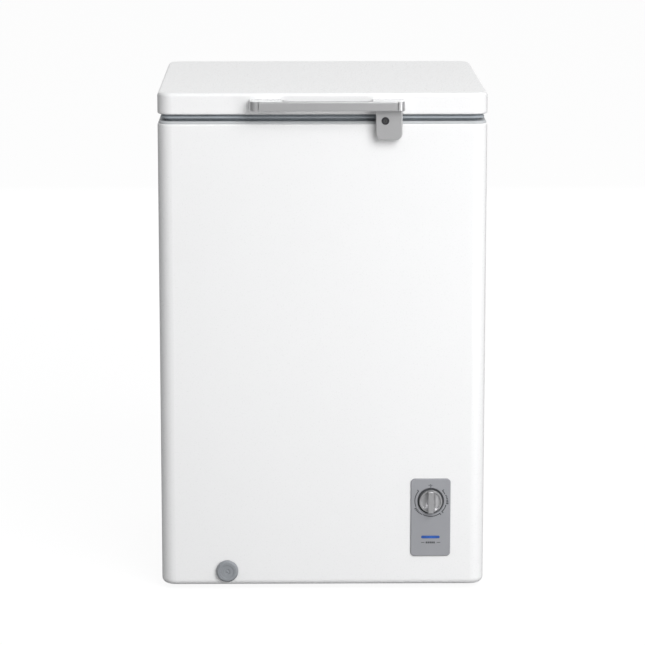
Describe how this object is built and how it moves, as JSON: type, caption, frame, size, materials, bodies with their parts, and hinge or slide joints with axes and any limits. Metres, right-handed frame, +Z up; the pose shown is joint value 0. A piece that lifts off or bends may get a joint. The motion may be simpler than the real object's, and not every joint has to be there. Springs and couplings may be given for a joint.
{
  "type": "chest freezer",
  "caption": "Small upright-proportioned chest freezer with a sprung lid, bar handle with lock tab, thermostat panel, drain outlet, stepped tank and hanging basket.",
  "frame": {"origin": "on the floor, under the middle of the whole object's box", "axes": "+X to the right as the user faces the front, +Y to the back, +Z up"},
  "size_m": [0.545, 0.574, 0.845],
  "materials": {
    "white_steel": "gloss",
    "galvanised_steel": "satin",
    "tank_aluminium": "satin",
    "foam": "matte",
    "frame_plastic": "satin",
    "gasket_rubber": "matte",
    "white_plastic": "gloss",
    "silver_plastic": "satin",
    "panel_plastic": "satin",
    "lens_plastic": "gloss",
    "black_plastic": "satin",
    "drain_plastic": "satin",
    "black_steel": "gloss",
    "motor_iron": "matte",
    "copper": "satin",
    "coil_aluminium": "satin",
    "coil_steel": "satin",
    "black_rubber": "matte",
    "zinc_steel": "satin",
    "spring_steel": "satin",
    "slider_plastic": "satin",
    "basket_wire": "satin",
    "circuit_board": "satin",
    "key_metal": "satin",
    "foot_plastic": "matte"
  },
  "bodies": {
    "cabinet": {"cabinet_shell": "white_steel", "back_panel": "galvanised_steel", "base_pan": "galvanised_steel", "inner_liner": "tank_aluminium", "cabinet_foam": "foam", "top_frame": "frame_plastic", "feet": "foot_plastic", "evaporator_coil": "coil_aluminium", "condenser_coil": "coil_steel", "compressor_shell": "black_steel", "compressor_motor": "motor_iron", "compressor_grommets": "black_rubber", "terminal_cover": "black_plastic", "filter_drier": "copper", "suction_tube": "copper", "discharge_tube": "copper", "capillary_tube": "copper", "rear_grille": "galvanised_steel", "grille_screws": "zinc_steel", "cord_inlet": "black_rubber", "control_bezel": "panel_plastic", "thermostat_body": "galvanised_steel", "thermostat_bulb": "copper", "indicator_lens": "lens_plastic", "indicator_lamps": "circuit_board", "drain_collar": "drain_plastic", "drain_tube": "white_plastic", "lock_keeper": "zinc_steel", "keeper_screws": "zinc_steel", "hinge_pins": "zinc_steel", "bracket_screws": "zinc_steel", "hinge_bracket_left": "white_steel", "hinge_bracket_right": "white_steel", "hinge_spring_left": "spring_steel", "hinge_spring_right": "spring_steel"},
    "knob": {"control_knob": "panel_plastic", "knob_spindle": "zinc_steel"},
    "spout": {"drain_spout": "drain_plastic"},
    "dial": {"drain_dial": "drain_plastic"},
    "plug": {"drain_plug": "black_rubber"},
    "basket": {"storage_basket": "basket_wire"},
    "slider_left": {"hinge_slider_left": "slider_plastic"},
    "slider_right": {"hinge_slider_right": "slider_plastic"},
    "lid": {"lid_shell": "white_steel", "lid_liner": "white_plastic", "lid_foam": "foam", "lid_gasket": "gasket_rubber", "handle_mounts": "white_plastic", "handle_bar": "silver_plastic", "handle_end_caps": "silver_plastic", "handle_screws": "zinc_steel", "lock_tab": "silver_plastic", "lock_housing": "black_plastic", "hinge_leaf_left": "white_steel", "hinge_leaf_right": "white_steel", "leaf_screws": "zinc_steel"},
    "lock_core": {"lock_plug": "key_metal", "lock_cam": "zinc_steel"}
  },
  "joints": [
    {"name": "lid_hinge", "type": "hinge", "parent": "cabinet", "child": "lid", "pos_m": [0, 0.278, 0.806], "axis": [-1, 0, 0], "range_deg": [0, 80], "stiffness_Nm_per_rad": 4, "springref_deg": 85.94},
    {"name": "hinge_slider_left_rise", "type": "slide", "parent": "cabinet", "child": "slider_left", "axis": [0, 0, 1], "range_m": [0, 0.0056], "deforming": ["hinge_spring_left"]},
    {"name": "hinge_slider_right_rise", "type": "slide", "parent": "cabinet", "child": "slider_right", "axis": [0, 0, 1], "range_m": [0, 0.0056], "deforming": ["hinge_spring_right"]},
    {"name": "knob_turn", "type": "hinge", "parent": "cabinet", "child": "knob", "pos_m": [0.182, -0.258, 0.1549], "axis": [0, 1, 0], "range_deg": [0, 300]},
    {"name": "lock_turn", "type": "hinge", "parent": "lid", "child": "lock_core", "pos_m": [0.1026, -0.266, 0.8006], "axis": [0, 1, 0], "range_deg": [0, 90]},
    {"name": "drain_spout_pull", "type": "slide", "parent": "cabinet", "child": "spout", "axis": [0, -1, 0], "range_m": [0, 0.02]},
    {"name": "drain_dial_turn", "type": "hinge", "parent": "spout", "child": "dial", "pos_m": [-0.1615, -0.258, 0.0336], "axis": [0, 1, 0], "range_deg": [0, 180]},
    {"name": "drain_plug_lift", "type": "slide", "parent": "cabinet", "child": "plug", "axis": [0, 0, 1], "range_m": [0, 0.03]},
    {"name": "basket_slide", "type": "slide", "parent": "cabinet", "child": "basket", "axis": [-1, 0, 0], "range_m": [0, 0.218]}
  ],
  "couplings": [
    {"joint": "hinge_slider_left_rise", "follows": "lid_hinge", "m_per_rad": 0.004},
    {"joint": "hinge_slider_right_rise", "follows": "lid_hinge", "m_per_rad": 0.004}
  ]
}
